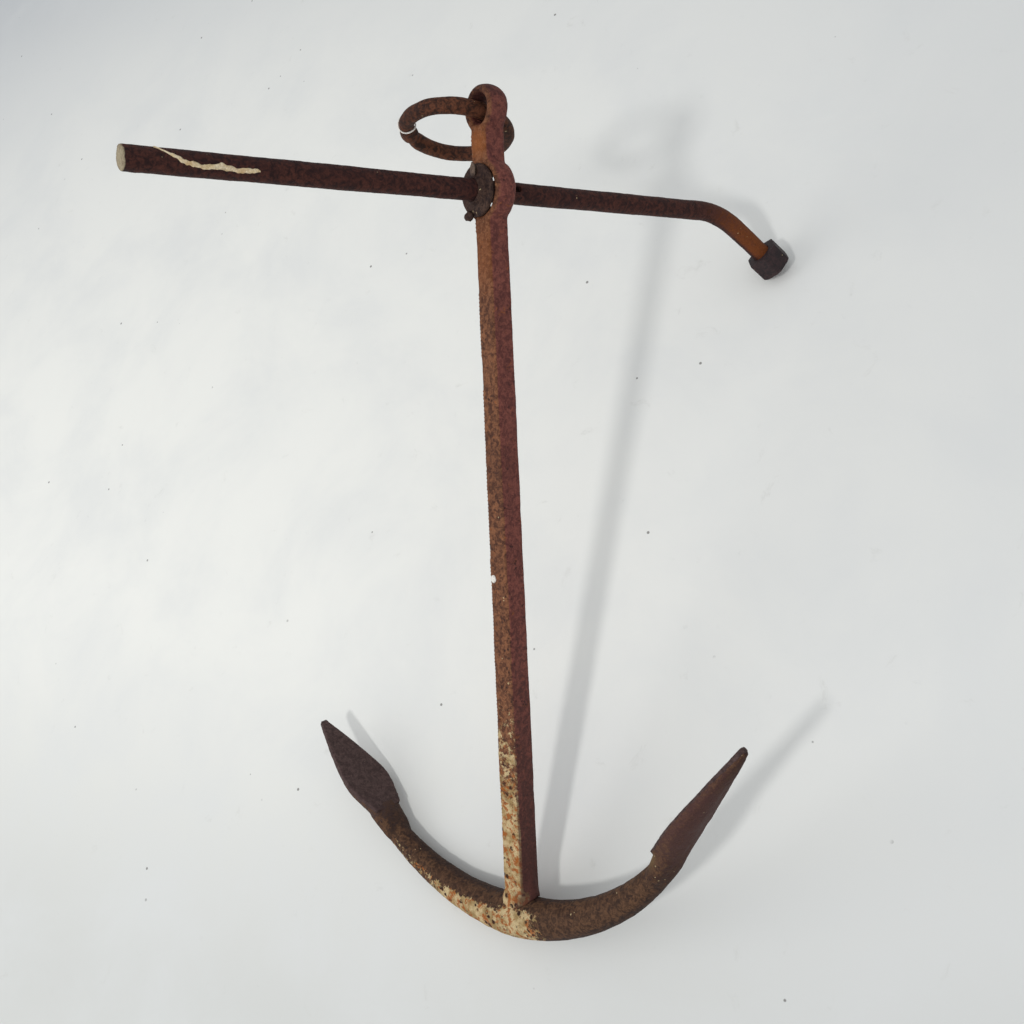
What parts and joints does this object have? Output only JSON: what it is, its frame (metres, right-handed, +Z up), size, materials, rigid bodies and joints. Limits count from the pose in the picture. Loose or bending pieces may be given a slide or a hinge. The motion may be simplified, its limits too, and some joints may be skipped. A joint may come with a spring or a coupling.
{
  "type": "boat anchor",
  "caption": "Small forged fisherman pattern anchor with curved arms, leaf palms, a sliding bent stock and a head ring, lying on a floor.",
  "frame": {"origin": "centre of the footprint of the anchor as it lies on a floor, at floor level", "axes": "+Z up; +Y along the floor from the crown towards the head; +X to the side of the right arm"},
  "size_m": [0.5338, 0.7477, 0.5956],
  "materials": {
    "shank_iron": "orange-brown rust with dark pits",
    "arm_iron": "brown rust under pale crust",
    "palm_iron": "dark grey-brown rust",
    "stock_iron": "dark maroon rust",
    "nut_iron": "near-black rust",
    "ring_iron": "dark brown rust"
  },
  "bodies": {
    "anchor": {"shank": "shank_iron", "arms": "arm_iron", "left_palm": "palm_iron", "right_palm": "palm_iron"},
    "collar": {"stock_collar": "stock_iron"},
    "stock": {"stock_bar": "stock_iron", "end_nut": "nut_iron"},
    "ring": {"ring": "ring_iron"}
  },
  "joints": [
    {"name": "stock_slide", "type": "slide", "parent": "anchor", "child": "collar", "axis": [-0.3708, -0.4138, 0.8314], "range_m": [0, 0.24]},
    {"name": "stock_turn", "type": "hinge", "parent": "collar", "child": "stock", "pos_m": [0.02437, 0.24843, 0.32756], "axis": [0.3708, 0.4138, -0.8314], "continuous": true},
    {"name": "ring_swing", "type": "hinge", "parent": "anchor", "child": "ring", "pos_m": [0.02033, 0.31031, 0.35656], "axis": [0.3929, 0.2156, -0.894], "range_deg": [-50, 235]}
  ]
}
